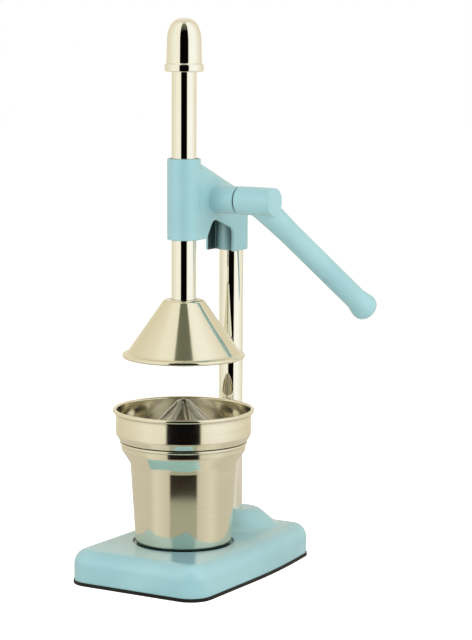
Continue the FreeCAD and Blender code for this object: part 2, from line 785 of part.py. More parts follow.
def is_web_crown(mid, edge):
    """True for the upper rim of the web's side walls and rounded back."""
    height = size("web_top_at_axis") - size("web_slope") * mid.y
    ends = [v.Point for v in edge.Vertexes]
    on_top = all(abs(p.z - size("web_top_at_axis") + size("web_slope") * p.y) < 0.01 for p in ends)
    return on_top and abs(mid.z - height) < 0.01 and mid.y > size("web_start") + size("past") / 2


def make_head_screws():
    """Two socket set screws that clamp the head to the column."""
    screws = []
    length = "sleeve_radius - column_radius + head_screw_pad - seat_gap - head_screw_sink"
    start = "column_distance + column_radius + seat_gap"
    for label, height in (("low", "head_screw_low"), ("high", "head_screw_high")):
        stem = rod("head_screw_" + label, "head_screw_radius", length, "0", start, height, "Y")
        socket = hexagon("head_socket_" + label, "hex_socket_radius", "hex_socket_depth + past", "0",
                         start + " + " + length + " - hex_socket_depth", height, "Y")
        screws.append(cut("head_set_screw_" + label, stem, socket))
    part("head_set_screws", fuse("head_set_screws", *screws))


def tube(name, outer, inner, length, x="0", y="0", z="0", along="Z"):
    """A plain tube."""
    skin = rod(name + "_skin", outer, length, x, y, z, along)
    void = rod(name + "_void", inner, length, x, y, z, along)
    return cut(name, skin, void)


def make_bushes():
    """Plain bushes for the ram and the pinion shaft."""
    ram_hole = "ram_radius + running_gap"
    upper_foot = "sleeve_top - ram_bush_inset - upper_bush_length"
    lower_foot = "sleeve_foot + ram_bush_inset"
    part("ram_bush_upper", tube("ram_bush_upper", "ram_bush_radius", ram_hole, "upper_bush_length",
                                z=upper_foot))
    part("ram_bush_lower", tube("ram_bush_lower", "ram_bush_radius", ram_hole, "lower_bush_length",
                                z=lower_foot))
    shaft_hole = "shaft_radius + running_gap"
    right_length = "boss_end - shaft_bush_inset - gear_room_half"
    left_length = "left_boss_end - shaft_bush_inset - gear_room_half"
    part("shaft_bush_right", tube("shaft_bush_right", "shaft_bush_radius", shaft_hole, right_length,
                                  "gear_room_half", "pinion_back", "pinion_height", "X"))
    part("shaft_bush_left", tube("shaft_bush_left", "shaft_bush_radius", shaft_hole, left_length,
                                 "-(left_boss_end - shaft_bush_inset)", "pinion_back",
                                 "pinion_height", "X"))


def gear_outline():
    """Outline of the pinion in the YZ plane, with one tooth facing the rack."""
    module = size("gear_module")
    teeth = int(size("pinion_teeth"))
    pitch = size("pitch_radius")
    tip = size("gear_tip_radius")
    root = pitch - size("gear_root_depth") * module
    pressure = math.radians(size("pressure_angle"))
    base = pitch * math.cos(pressure)
    half_tooth = (math.pi * module / 2 - size("gear_backlash") / 2) / (2 * pitch)
    centre = Vector(0, size("pinion_back"), size("pinion_height"))

    def at(radius, angle):
        return centre + Vector(0, math.cos(angle), math.sin(angle)) * radius

    def flank_angle(radius):
        """Half the tooth's angle at a radius on the involute."""
        def involute(r):
            roll = math.acos(min(1.0, base / r))
            return math.tan(roll) - roll
        return half_tooth + involute(pitch) - involute(radius)

    step = 2 * math.pi / teeth
    middle = (base + tip) / 2
    edges = []
    for tooth in range(teeth):
        axis = math.pi + tooth * step
        low_angle, mid_angle, tip_angle = (flank_angle(r) for r in (base, middle, tip))
        rise = [at(root, axis - low_angle), at(base, axis - low_angle),
                at(middle, axis - mid_angle), at(tip, axis - tip_angle)]
        fall = [at(tip, axis + tip_angle), at(middle, axis + mid_angle),
                at(base, axis + low_angle), at(root, axis + low_angle)]
        follow = at(root, axis + step - low_angle)
        edges += [
            Part.LineSegment(rise[0], rise[1]).toShape(),
            Part.Arc(rise[1], rise[2], rise[3]).toShape(),
            Part.Arc(rise[3], at(tip, axis), fall[0]).toShape(),
            Part.Arc(fall[0], fall[1], fall[2]).toShape(),
            Part.LineSegment(fall[2], fall[3]).toShape(),
            Part.Arc(fall[3], at(root, axis + step / 2), follow).toShape(),
        ]
    return Part.Face(Part.Wire(edges))


def make_pinion():
    """Pinion, its shaft, the key between them and what holds the shaft endways."""
    at = dict(y="pinion_back", z="pinion_height", along="X")
    blank = doc.addObject("Part::Feature", "gear_blank")
    width = size("gear_width")
    gear_shape = gear_outline().extrude(Vector(width, 0, 0))
    gear_shape.translate(Vector(-width / 2, 0, 0))
    blank.Shape = gear_shape
    key_foot = "pinion_height + shaft_radius - key_depth"
    key_height = "key_depth + key_rise"
    keyway = block("gear_keyway", "gear_width + 2 * past", "key_width + seat_gap * 2",
                   key_height + " + seat_gap", "-(gear_width / 2 + past)",
                   "pinion_back - key_width / 2 - seat_gap", key_foot)
    part("pinion_gear", cut("pinion_gear", blank,
                            rod("gear_bore", "shaft_radius + seat_gap", "gear_width + 2 * past",
                                "-(gear_width / 2 + past)", **at),
                            keyway))
    part("gear_key", block("gear_key", "key_length", "key_width", key_height, "-key_length / 2",
                           "pinion_back - key_width / 2", key_foot))
    length = "shaft_left + shaft_right"
    groove_x = "-(left_boss_end + running_gap * 2 + shaft_washer_thick + ring_thick + seat_gap)"
    groove = tube("ring_groove_tool", "shaft_radius + past", "shaft_radius - ring_groove",
                  "ring_thick + seat_gap * 2", groove_x, **at)
    key_seat = block("shaft_key_seat", "key_length + seat_gap * 2", "key_width + seat_gap * 2",
                     "key_depth * 2", "-(key_length / 2 + seat_gap)",
                     "pinion_back - key_width / 2 - seat_gap", key_foot + " - seat_gap")
    flat = block("shaft_flat", "lever_screw_radius * 2 + 2 * past", "shaft_radius", "shaft_radius * 2",
                 "lever_screw_x - lever_screw_radius - past",
                 "pinion_back + shaft_radius - shaft_flat_depth", "pinion_height - shaft_radius")
    part("pinion_shaft", cut("pinion_shaft", rod("shaft_bar", "shaft_radius", length, "-shaft_left", **at),
                             groove, key_seat, flat))
    washer_x = "-(left_boss_end + running_gap + shaft_washer_thick)"
    part("shaft_washer", tube("shaft_washer", "shaft_washer_radius", "shaft_radius + running_gap",
                              "shaft_washer_thick", washer_x, **at))
    ring_x = "-(left_boss_end + running_gap * 2 + shaft_washer_thick + ring_thick)"
    ring = tube("ring_disc", "ring_radius", "shaft_radius - ring_groove + seat_gap", "ring_thick",
                ring_x, **at)
    mouth = block("ring_mouth", "ring_thick * 3", "ring_radius", "ring_mouth",
                  ring_x + " - ring_thick", "pinion_back", "pinion_height - ring_mouth / 2")
    part("retaining_ring", cut("retaining_ring", ring, mouth))
    part("hub_washer", tube("hub_washer", "hub_washer_radius", "shaft_radius + running_gap",
                            "hub_washer_thick", "(boss_end + hub_start - hub_washer_thick) / 2", **at))


def make_lever():
    """Hub and arm in one casting, fixed to the shaft by a set screw."""
    hub = new_body("lever_hub")
    sketch = outline(hub, "lever_hub_profile", "XY_Plane", [
        ("hub_start", "0"),
        ("hub_start", "hub_radius", "hub_round / 2"),
        ("hub_end", "hub_radius", "hub_round"),
        ("hub_end", "0"),
    ])
    turn = hub.newObject("PartDesign::Revolution", "lever_hub_turn")
    turn.Profile = sketch
    turn.ReferenceAxis = (sketch, ["H_Axis"])
    turn.Angle = 360
    bind(hub, y="pinion_back", z="pinion_height")
    flare_start = "arm_length - arm_flare_length"
    arm = spun("lever_arm", [
        ("0", "0"),
        ("arm_root_radius", "0"),
        ("arm_radius", "arm_root_length", "arm_root_round"),
        ("arm_radius", flare_start, "arm_flare_start_round"),
        ("arm_flare_radius", "arm_length - arm_flare_flat", "arm_flare_top_round"),
        ("arm_tip_radius", "arm_length", "arm_end_round"),
        ("0", "arm_length"),
    ])
    splay = math.radians(size("arm_splay"))
    drop = math.radians(size("arm_drop"))
    way = Vector(math.sin(splay), math.cos(splay) * math.cos(drop), -math.cos(splay) * math.sin(drop))
    arm.Placement = Placement(Vector(), Rotation(Vector(0, 0, 1), way))
    bind(arm, x="arm_start", y="pinion_back", z="pinion_height")
    ball = doc.addObject("Part::Sphere", "elbow_ball")
    bind(ball, Radius="arm_root_radius", x="arm_start", y="pinion_back", z="pinion_height")
    blank = fuse("lever_blank", hub, arm, ball)
    at = dict(y="pinion_back", z="pinion_height", along="X")
    bore = rod("lever_bore", "shaft_radius + seat_gap", "shaft_in_hub + past + seat_gap * 2",
               "hub_start - past", **at)
    start = "pinion_back + shaft_radius - shaft_flat_depth + seat_gap"
    tap = rod("lever_tap", "lever_screw_radius + seat_gap", "hub_radius * 2", "lever_screw_x",
              "pinion_back", "pinion_height", "Y")
    part("lever_casting", cut("lever_casting", blank, bore, tap))
    stem = rod("lever_screw_stem", "lever_screw_radius", "lever_screw_length", "lever_screw_x",
               start, "pinion_height", "Y")
    socket = hexagon("lever_screw_socket", "hex_socket_radius", "hex_socket_depth + past", "lever_screw_x",
                     start + " + lever_screw_length - hex_socket_depth", "pinion_height", "Y")
    part("lever_set_screw", cut("lever_set_screw", stem, socket))


def make_ram():
    """Slotted chromed tube with the rack, its two plugs, cap and stud."""
    skin = tube("ram_skin", "ram_radius", "ram_bore", "ram_top - ram_foot", z="ram_foot")
    slot = block("ram_slot", "rack_width + seat_gap * 2", "ram_radius * 2",
                 "rack_strip_length + seat_gap * 2", "-(rack_width / 2 + seat_gap)", "0",
                 "rack_strip_foot - seat_gap")
    part("ram_tube", cut("ram_tube", skin, slot))
    rack = new_body("rack_bar")
    bar = pad(rack, "rack_bar_pad", "YZ_Plane", [
        ("rack_bar_front", "rack_foot + seat_gap"),
        ("rack_bar_back", "rack_foot + seat_gap"),
        ("rack_bar_back", "rack_strip_foot"),
        ("ram_radius", "rack_strip_foot"),
        ("ram_radius", "rack_strip_foot + rack_strip_length"),
        ("rack_bar_back", "rack_strip_foot + rack_strip_length"),
        ("rack_bar_back", "rack_top - seat_gap"),
        ("rack_bar_front", "rack_top - seat_gap"),
    ], "rack_width", middle=True)
    first = "(rack_strip_foot + tooth_pitch)"
    slant = "tan(pressure_angle)"
    root = "rack_pitch_line - gear_root_depth * gear_module"
    half = "(tooth_pitch / 4 + gear_backlash / 4)"
    wide = half + " + " + slant + " * (gear_module + past)"
    narrow = half + " - " + slant + " * gear_root_depth * gear_module"
    gap_sketch = outline(rack, "rack_gap_outline", "YZ_Plane", [
        (root, first + " - (" + narrow + ")"),
        ("ram_radius + past", first + " - (" + wide + ")"),
        ("ram_radius + past", first + " + " + wide),
        (root, first + " + " + narrow),
    ])
    gap = rack.newObject("PartDesign::Pocket", "rack_gap")
    gap.Profile = gap_sketch
    gap.Midplane = True
    gap.setExpression("Length", spell("rack_width + 2 * past"))
    row = rack.newObject("PartDesign::LinearPattern", "rack_gaps")
    row.Originals = [gap]
    row.Direction = (gap_sketch, ["V_Axis"])
    row.setExpression("Length", spell("(rack_gaps - past) * tooth_pitch"))
    row.Occurrences = int(size("rack_gaps"))
    rack.Tip = row
    part("ram_rack", common("ram_rack", rack, rod("rack_round", "ram_radius", "ram_top - ram_foot",
                                                  z="ram_foot")))
    plug_radius = "ram_bore - seat_gap"
    part("ram_end_plug", tube("ram_end_plug", plug_radius, "cone_screw_radius + seat_gap",
                              "ram_end_plug_length", z="ram_foot"))
    part("ram_top_plug", tube("ram_top_plug", plug_radius, "cap_stud_radius + seat_gap",
                              "ram_top_plug_length", z="rack_top"))
    part("cap_stud", rod("cap_stud", "cap_stud_radius", "cap_stud_bite * 2", z="ram_top - cap_stud_bite"))
    bore = "ram_radius + seat_gap"
    collar_top = "cap_foot + cap_collar_height"
    cap = spun("cap_blank", [
        (bore, "cap_foot"),
        ("cap_collar_radius", "cap_foot", "cap_collar_foot_round"),
        ("cap_collar_radius", collar_top, "cap_collar_top_round"),
        ("cap_neck_radius", collar_top + " + cap_neck_rise", "cap_neck_round"),
        ("cap_shoulder_radius", "cap_shoulder", "cap_shoulder_round"),
        ("cap_dome_radius", "cap_top", "cap_dome_round"),
        ("0", "cap_top"),
        ("0", "ram_top + seat_gap"),
        (bore, "ram_top + seat_gap"),
    ])
    part("ram_cap", cut("ram_cap", cap, rod("cap_tap", "cap_stud_radius + seat_gap",
                                            "cap_stud_bite + past", z="ram_top")))


def make_cone():
    """Spun press cone with a rolled lip, and the screw and washer that hold it."""
    top = "ram_foot - seat_gap"
    inner_top = "ram_foot - seat_gap - cone_wall"
    lip_top = "cone_lip_foot + cone_lip_thick"
    inner_radius = "cone_top_radius + cone_slope * cone_wall - cone_across"
    foot_inner = "cone_foot_radius + cone_slope * (cone_foot - cone_lip_foot) - cone_across"
    cone = spun("press_cone", [
        ("cone_screw_radius + screw_gap", inner_top),
        ("cone_screw_radius + screw_gap", top),
        ("cone_top_radius", top, "cone_shoulder_round"),
        ("cone_foot_radius", "cone_foot", "cone_foot_round"),
        ("cone_lip_radius", lip_top, "cone_lip_round"),
        ("cone_lip_radius", "cone_lip_foot", "cone_lip_round"),
        (foot_inner, "cone_lip_foot"),
        (inner_radius, inner_top, "cone_shoulder_round - cone_wall"),
    ])
    part("press_cone", cone)
    washer_top = inner_top + " - seat_gap"
    part("cone_washer", tube("cone_washer", "cone_washer_radius", "cone_screw_radius + screw_gap",
                             "cone_washer_thick", z=washer_top + " - cone_washer_thick"))
    head_foot = washer_top + " - cone_washer_thick - cone_screw_head"
    head = rod("cone_screw_cap", "cone_screw_head_radius", "cone_screw_head", z=head_foot)
    shank = rod("cone_screw_shank", "cone_screw_radius",
                "ram_foot + cone_screw_bite - (" + head_foot + ")", z=head_foot)
    socket = hexagon("cone_screw_socket", "cone_screw_head_radius / 2", "cone_screw_head / 2 + past",
                     z=head_foot + " - past")
    part("cone_screw", cut("cone_screw", fuse("cone_screw_blank", head, shank), socket))


def make_cup():
    """Spun juice cup."""
    inside = " - cup_wall"
    cup = spun("cup", [
        ("0", "cup_base"),
        ("cup_foot_radius", "cup_base", "cup_foot_round"),
        ("cup_waist_radius", "cup_waist", "cup_waist_round"),
        ("cup_shoulder_radius", "cup_shoulder", "cup_shoulder_round"),
        ("cup_shoulder_radius + cup_rim_spread", "cup_top"),
        ("cup_shoulder_radius + cup_rim_spread" + inside, "cup_top"),
        ("cup_shoulder_radius" + inside, "cup_shoulder + cup_wall / 2", "cup_shoulder_round - cup_wall"),
        ("cup_waist_radius" + inside, "cup_waist + cup_wall / 2", "cup_waist_round + cup_wall"),
        ("cup_foot_radius" + inside, "cup_base + cup_wall", "cup_foot_round - cup_wall"),
        ("0", "cup_base + cup_wall"),
    ])
    part("cup", cup)


def make_strainer():
    """Strainer bowl: beaded rim, band, seat on the cup, skirt and perforated floor."""
    inside = " - strainer_wall"
    body = spun("strainer_bowl", [
        ("reamer_screw_radius + screw_gap", "strainer_floor"),
        ("strainer_skirt_radius", "strainer_floor", "strainer_floor_round"),
        ("strainer_skirt_radius", "strainer_ledge"),
        ("strainer_seat_radius", "strainer_ledge", "strainer_seat_round"),
        ("strainer_band_radius", "strainer_band_foot", "strainer_band_round"),
        ("strainer_band_radius", "strainer_top - bead_height"),
        ("bead_radius", "strainer_top - bead_height", "bead_round"),
        ("bead_radius", "strainer_top", "bead_round"),
        ("strainer_band_radius" + inside, "strainer_top", "bead_round"),
        ("strainer_band_radius" + inside, "strainer_band_foot + strainer_wall / 2",
         "strainer_band_round - strainer_wall"),
        ("strainer_seat_radius" + inside, "strainer_ledge + strainer_wall", "strainer_seat_round / 2"),
        ("strainer_skirt_radius" + inside, "strainer_ledge + strainer_wall"),
        ("strainer_skirt_radius" + inside, "strainer_floor + strainer_wall", "strainer_floor_round / 2"),
        ("reamer_screw_radius + screw_gap", "strainer_floor + strainer_wall"),
    ])
    for ring in ("inner_hole_ring", "outer_hole_ring"):
        sketch = body.newObject("Sketcher::SketchObject", ring + "_sketch")
        sketch.AttachmentSupport = [(plane_of(body, "XY_Plane"), "")]
        sketch.MapMode = "FlatFace"
        sketch.setExpression("AttachmentOffset.Base.z", spell("strainer_floor - past"))
        circle = sketch.addGeometry(
            Part.Circle(Vector(size(ring), 0, 0), Vector(0, 0, 1), size("strainer_hole_radius")), False)
        constrain(sketch, "PointOnObject", circle, 3, -1)
        across = constrain(sketch, "DistanceX", -1, 1, circle, 3, size(ring))
        sketch.setExpression("Constraints[%d]" % across, spell(ring))
        radius = constrain(sketch, "Radius", circle, size("strainer_hole_radius"))
        sketch.setExpression("Constraints[%d]" % radius, spell("strainer_hole_radius"))
        hole = body.newObject("PartDesign::Pocket", ring + "_hole")
        hole.Profile = sketch
        hole.Reversed = True
        hole.setExpression("Length", spell("strainer_wall + 2 * past"))
        holes = body.newObject("PartDesign::PolarPattern", ring + "_holes")
        holes.Originals = [hole]
        holes.Axis = (plane_axis(body), [""])
        holes.Angle = 360
        holes.Occurrences = int(size("strainer_holes"))
        body.Tip = holes
    part("strainer_bowl", body)


def plane_axis(body):
    return plane_of(body, "Z_Axis")


def make_reamer():
    """Ribbed dome that the fruit is pressed on, with the screw that holds it."""
    rim_top = "reamer_foot + reamer_rim"
    waist = "reamer_foot + reamer_waist_height"
    body = spun("reamer_body", [
        ("0", "reamer_foot"),
        ("reamer_radius", "reamer_foot"),
        ("reamer_radius", rim_top, "reamer_rim_round"),
        ("reamer_waist_radius", waist, "reamer_waist_round"),
        ("reamer_core_radius", "reamer_core_top", "reamer_tip_round"),
        ("0", "reamer_core_top"),
    ])
    rib = pad(body, "reamer_rib", "XZ_Plane", [
        ("0", rim_top),
        ("reamer_radius - reamer_rim_round", rim_top),
        ("reamer_waist_radius + reamer_rib_lift", waist, "reamer_waist_round"),
        ("reamer_core_radius", "reamer_rib_tip - reamer_rib_drop", "reamer_tip_round"),
        ("0", "reamer_rib_tip"),
    ], "reamer_rib_width", middle=True)
    ribs = body.newObject("PartDesign::PolarPattern", "reamer_ribs")
    ribs.Originals = [rib]
    ribs.Axis = (plane_axis(body), [""])
    ribs.Angle = 360
    ribs.Occurrences = int(size("reamer_ribs"))
    body.Tip = ribs
    part("reamer", cut("reamer_tapped", body, rod("reamer_tap", "reamer_screw_radius + seat_gap",
                                                  "reamer_screw_bite + past", z="reamer_foot - past")))
    head_foot = "strainer_floor - seat_gap - reamer_screw_head"
    head = rod("reamer_screw_cap", "reamer_screw_head_radius", "reamer_screw_head", z=head_foot)
    shank = rod("reamer_screw_shank", "reamer_screw_radius",
                "reamer_foot + reamer_screw_bite - past - (" + head_foot + ")", z=head_foot)
    socket = hexagon("reamer_screw_socket", "reamer_screw_head_radius / 2", "reamer_screw_head / 2 + past",
                     z=head_foot + " - past")
    part("reamer_screw", cut("reamer_screw", fuse("reamer_screw_blank", head, shank), socket))


def check_and_export():
    """Stops on any failed feature, then writes one STEP file per sub-part."""
    doc.recompute()
    for obj in doc.Objects:
        bad = [word for word in obj.State if word in ("Invalid", "Error")]
        if bad:
            raise RuntimeError("%s is %s" % (obj.Name, bad))
    for obj in PARTS:
        shape = obj.Shape
        if shape.isNull() or not shape.isValid() or not shape.Solids:
            raise RuntimeError("%s has no sound shape" % obj.Label)
    os.makedirs("parts", exist_ok=True)
    for obj in PARTS:
        obj.Shape.exportStep("parts/%s.step" % obj.Label)
        box = obj.Shape.BoundBox
        print("%-18s %d solids %9.0f mm3  z %.1f to %.1f" % (
            obj.Label, len(obj.Shape.Solids), obj.Shape.Volume, box.ZMin, box.ZMax))


make_base()
make_mat()
make_column()
make_head()
make_head_screws()
make_bushes()
make_pinion()
make_lever()
make_ram()
make_cone()
make_cup()
make_strainer()
make_reamer()
check_and_export()
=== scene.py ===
import json
import math

import bpy
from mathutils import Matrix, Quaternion, Vector


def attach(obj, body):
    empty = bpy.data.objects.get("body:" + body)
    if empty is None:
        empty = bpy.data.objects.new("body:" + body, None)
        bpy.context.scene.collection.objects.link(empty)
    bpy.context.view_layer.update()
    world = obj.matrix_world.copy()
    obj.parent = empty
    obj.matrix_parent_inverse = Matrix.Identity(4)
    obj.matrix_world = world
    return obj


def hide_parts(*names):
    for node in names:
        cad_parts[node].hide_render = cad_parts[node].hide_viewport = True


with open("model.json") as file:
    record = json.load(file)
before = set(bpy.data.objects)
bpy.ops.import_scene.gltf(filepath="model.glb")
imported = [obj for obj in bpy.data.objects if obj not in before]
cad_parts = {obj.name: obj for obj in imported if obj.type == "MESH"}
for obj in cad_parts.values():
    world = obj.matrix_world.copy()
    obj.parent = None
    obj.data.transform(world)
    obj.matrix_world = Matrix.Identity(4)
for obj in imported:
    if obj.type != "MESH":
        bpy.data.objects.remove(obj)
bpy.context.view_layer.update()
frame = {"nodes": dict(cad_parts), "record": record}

# Stand-mounted citrus press, in metres. +Z is up, the front of the press is -Y, the column
# stands at +Y and the lever is on the +X side.

NODES = frame["nodes"]
MM = 0.001

# The photograph's view: azimuth and elevation of the camera as seen from the press
VIEW_AZIMUTH = math.radians(31)
VIEW_ELEVATION = math.radians(8.1)
VIEW_ROLL = math.radians(0.27)
CAMERA_PLACE = Vector((1025.09, -1624.05, 483.62)) * MM
CAMERA_SIDE = math.atan2(CAMERA_PLACE.x, -CAMERA_PLACE.y)
LENS_MM = 135
FRAME_MM = 36


def linear(text):
    """An sRGB colour such as "A5CFD6" as linear red, green, blue and alpha."""
    values = [int(text[i:i + 2], 16) / 255 for i in (0, 2, 4)]
    return [v / 12.92 if v <= 0.04045 else ((v + 0.055) / 1.055) ** 2.4 for v in values] + [1]


def add(tree, kind, inputs=(), out=None, **settings):
    """Adds a shader node. inputs holds values or sources, in order or by name or place; settings
    are the node's properties. Gives the node, or the output that out names."""
    node = tree.nodes.new("ShaderNode" + kind)
    for key, value in settings.items():
        setattr(node, key, value)
    for key, value in inputs.items() if isinstance(inputs, dict) else enumerate(inputs):
        if isinstance(value, bpy.types.NodeSocket):
            tree.links.new(value, node.inputs[key])
        else:
            node.inputs[key].default_value = value
    return node if out is None else node.outputs[out]


# Materials

FINISHES = {}
HOLLOW = "hollow"
# The places of a colour Mix node's factor and colours among its inputs, and of its colour result
FACTOR, LOW, HIGH = 0, 6, 7
MIXED = 2


def finish(slot_name, title):
    """A new material for one of the record's slots; gives its tree, shader and coordinates."""
    material = bpy.data.materials.new(title)
    material.use_nodes = True
    FINISHES[slot_name] = material
    tree = material.node_tree
    shader = next(n for n in tree.nodes if n.type == "BSDF_PRINCIPLED")
    return tree, shader, add(tree, "TexCoord", out="Object")


def grains(tree, place, grain_mm, detail=2.0, stretch=(1, 1, 1)):
    """A pattern of grains grain_mm across, longer along an axis where stretch is under 1."""
    turned = add(tree, "Mapping", {"Vector": place, "Scale": stretch}, 0)
    return add(tree, "TexNoise", {"Vector": turned, "Scale": 1 / (grain_mm * MM), "Detail": detail}, 0)


def dress(tree, shader, relief, depth_mm, **values):
    """Sets the shader's sockets, named with _ for a space, and raises the relief by depth_mm."""
    values["Normal"] = add(tree, "Bump", {"Distance": depth_mm * MM, "Height": relief}, 0)
    for key, value in values.items():
        socket = shader.inputs[key.replace("_", " ")]
        if isinstance(value, bpy.types.NodeSocket):
            tree.links.new(value, socket)
        else:
            socket.default_value = value


def painted_crevice_shade(tree, colour, reach_mm, low, high, shade):
    """The colour, darkened towards a painted shade where other surfaces stand closer than reach_mm."""
    openness = add(tree, "AmbientOcclusion", {"Distance": reach_mm * MM}, "AO", samples=8)
    share = add(tree, "MapRange", (openness, low, high, 0, 1), 0)
    return add(tree, "Mix", {FACTOR: share, LOW: linear(shade), HIGH: colour}, MIXED, data_type="RGBA")


def make_marked(slot_name, title, marks_mm, detail, stretch, colours, roughness, depth_mm, **values):
    """A finish whose tool marks or grain vary its colour and roughness and stand depth_mm high."""
    tree, shader, place = finish(slot_name, title)
    marks = grains(tree, place, marks_mm, detail, stretch)
    low, high = (linear(colour) for colour in colours)
    colour = add(tree, "Mix", {FACTOR: marks, LOW: low, HIGH: high}, MIXED, data_type="RGBA")
    rough = add(tree, "MapRange", (marks, 0.3, 0.7, *roughness), 0)
    dress(tree, shader, marks, depth_mm, Base_Color=colour, Roughness=rough, **values)


def make_enamel():
    """Stoved enamel on cast metal: an even, softly glossy pale blue, a little deeper in broad patches, with
    the faint orange peel of a sprayed coat. A painted shade darkens it in the hollow of the head, more
    round the sides of the column's sleeve there, and a painted shade line darkens it in tight crevices."""
    tree, shader, place = finish("enamel", "stoved_enamel_pale_blue")
    patches = add(tree, "MapRange", (grains(tree, place, 45, 1.0), 0.35, 0.65, 0, 1), 0)
    colour = add(tree, "Mix", {FACTOR: patches, LOW: linear("9CCAD0"), HIGH: linear("A3D0D5")}, MIXED,
                 data_type="RGBA")
    # Painted shade: tight crevices in the enamel darken towards 16302F
    colour = painted_crevice_shade(tree, colour, 5, 0.15, 0.6, "16302F")
    # Painted shade: the head's hollow darkens towards 0F2A29 by its marked share
    painted_hollow_shade = add(tree, "Attribute", out="Fac", attribute_name=HOLLOW)
    colour = add(tree, "Mix", {FACTOR: painted_hollow_shade, LOW: colour, HIGH: linear("0F2A29")}, MIXED,
                 data_type="RGBA")
    rough = add(tree, "MapRange", (grains(tree, place, 14, 3.0), 0.3, 0.7, 0.21, 0.26), 0)
    dress(tree, shader, grains(tree, place, 3.0, 1.5), 0.003, Base_Color=colour, Roughness=rough,
          IOR=1.5, Coat_Weight=0.4, Coat_Roughness=0.12)


def make_chrome():
    """Polished chrome plate: a bright, slightly warm mirror with faint wiping marks."""
    tree, shader, place = finish("chrome", "polished_chrome_plate")
    wipes = grains(tree, place, 9, 3.0, (1, 1, 0.25))
    rough = add(tree, "MapRange", (wipes, 0.4, 0.75, 0.035, 0.075), 0)
    clouds = grains(tree, place, 30, 1.0)
    tint = add(tree, "Mix", {FACTOR: clouds, LOW: linear("F6F4EC"), HIGH: linear("FBFAF4")}, MIXED,
               data_type="RGBA")
    dress(tree, shader, grains(tree, place, 25, 1.0), 0.006, Base_Color=tint, Metallic=1.0,
          Roughness=rough)


def make_spun_steel():
    """Stainless sheet spun on a lathe and polished: a soft mirror, with faint rings round the
    axis from the spinning tool. The real rings are about 0.3 mm apart and are drawn at 0.8 mm
    so that they show."""
    tree, shader, place = finish("spun_steel", "spun_stainless_steel")
    rings = grains(tree, place, 0.8, 2.0, (0.004, 0.004, 1))
    ring_rough = add(tree, "MapRange", (rings, 0.3, 0.7, 0.09, 0.115), 0)
    cloud_rough = add(tree, "MapRange", (grains(tree, place, 22, 2.0), 0.35, 0.65, 0.0, 0.02), 0)
    rough = add(tree, "Math", (ring_rough, cloud_rough), 0, operation="ADD")
    share = add(tree, "MapRange", (rings, 0.3, 0.7, 0, 1), 0)
    tint = add(tree, "Mix", {FACTOR: share, LOW: linear("EFEAD8"), HIGH: linear("F3EFDF")}, MIXED,
               data_type="RGBA")
    # Painted shade: tight crevices between the spun pieces darken towards 3A382F
    tint = painted_crevice_shade(tree, tint, 5, 0.4, 0.9, "3A382F")
    dress(tree, shader, rings, 0.0015, Base_Color=tint, Metallic=1.0, Roughness=rough,
          Coat_Weight=0.6, Coat_Roughness=0.5)


def make_rubber():
    """Moulded black rubber sheet: matt, nearly black, with a fine leathery grain."""
    make_marked("rubber", "black_rubber_sheet", 1.1, 4.0, (1, 1, 1), ("0B0907", "1A1512"),
                (0.62, 0.82), 0.05, IOR=1.5)


def make_plated_screws():
    """Zinc plated steel: bluish grey, softly bright, with turning marks and handling scuffs."""
    make_marked("screw_steel", "zinc_plated_steel", 0.8, 3.0, (1, 1, 1), ("A9ABAC", "CDCECB"),
                (0.29, 0.42), 0.01, Metallic=1.0)


def make_gear_steel():
    """Hobbed steel, lightly oiled: dark grey with fine cutting marks along the teeth."""
    make_marked("gear_steel", "hobbed_oiled_steel", 0.7, 3.0, (0.15, 1, 1), ("6F6F70", "979693"),
                (0.29, 0.4), 0.015, Metallic=1.0)


def make_acetal():
    """Turned black acetal: dense plastic with a slight waxy gloss and faint lathe marks."""
    make_marked("polymer", "turned_black_acetal", 0.6, 2.0, (1, 1, 0.3), ("141414", "202020"),
                (0.34, 0.46), 0.01, IOR=1.48)


def make_bronze():
    """Sintered bronze bush: warm brown metal with small open pores."""
    tree, shader, place = finish("bronze", "sintered_bronze")
    pores = grains(tree, place, 0.5, 2.0)
    share = add(tree, "MapRange", (pores, 0.35, 0.6, 0, 1), 0)
    colour = add(tree, "Mix", {FACTOR: share, LOW: linear("6E4F2B"), HIGH: linear("B98B55")}, MIXED,
                 data_type="RGBA")
    dress(tree, shader, pores, 0.03, Base_Color=colour, Metallic=1.0, Roughness=0.42)


def make_cast_aluminium():
    """Cast aluminium, tumbled bright: silvery grey, softly mottled, with a cast grain."""
    tree, shader, place = finish("cast_aluminium", "tumbled_cast_aluminium")
    grain = grains(tree, place, 1.0, 3.0)
    mottle = add(tree, "MapRange", (grains(tree, place, 5, 3.0), 0.3, 0.7, 0, 1), 0)
    colour = add(tree, "Mix", {FACTOR: mottle, LOW: linear("BEBDB7"), HIGH: linear("D9D7CF")}, MIXED,
                 data_type="RGBA")
    rough = add(tree, "MapRange", (grain, 0.3, 0.7, 0.29, 0.38), 0)
    dress(tree, shader, grain, 0.03, Base_Color=colour, Metallic=1.0, Roughness=rough)


def paint_nodes():
    """Gives every CAD node the finish of its slot."""
    slots = {row["node"]: row["material_slot"] for row in frame["record"]["subparts"]}
    for name, node in NODES.items():
        node.data.materials.clear()
        node.data.materials.append(FINISHES[slots[name]])


# New pieces: the castings, with the soft edges that the mould and the finish leave, and the
# curled rims of spun sheet. Their sizes are in millimetres and their angles in degrees.

# The fillets under the sloping roof of the head's hollow
ROOF_SLOPE = 22.5
ROOF_FILLET_RADIUS = 2.0
ROOF_FILLET_LENGTH = 61.7
ROOF_FILLET_MIDDLE = (9.35, 37, 322.7)
# The hollow itself, between the front sleeve and the sleeve of the column
HOLLOW_HALF_WIDTH = 11.2
HOLLOW_FRONT = 8
HOLLOW_BACK = 72
FRONT_SLEEVE_REACH = 13.2
COLUMN_Y = 74
COLUMN_SLEEVE_REACH = 13.6
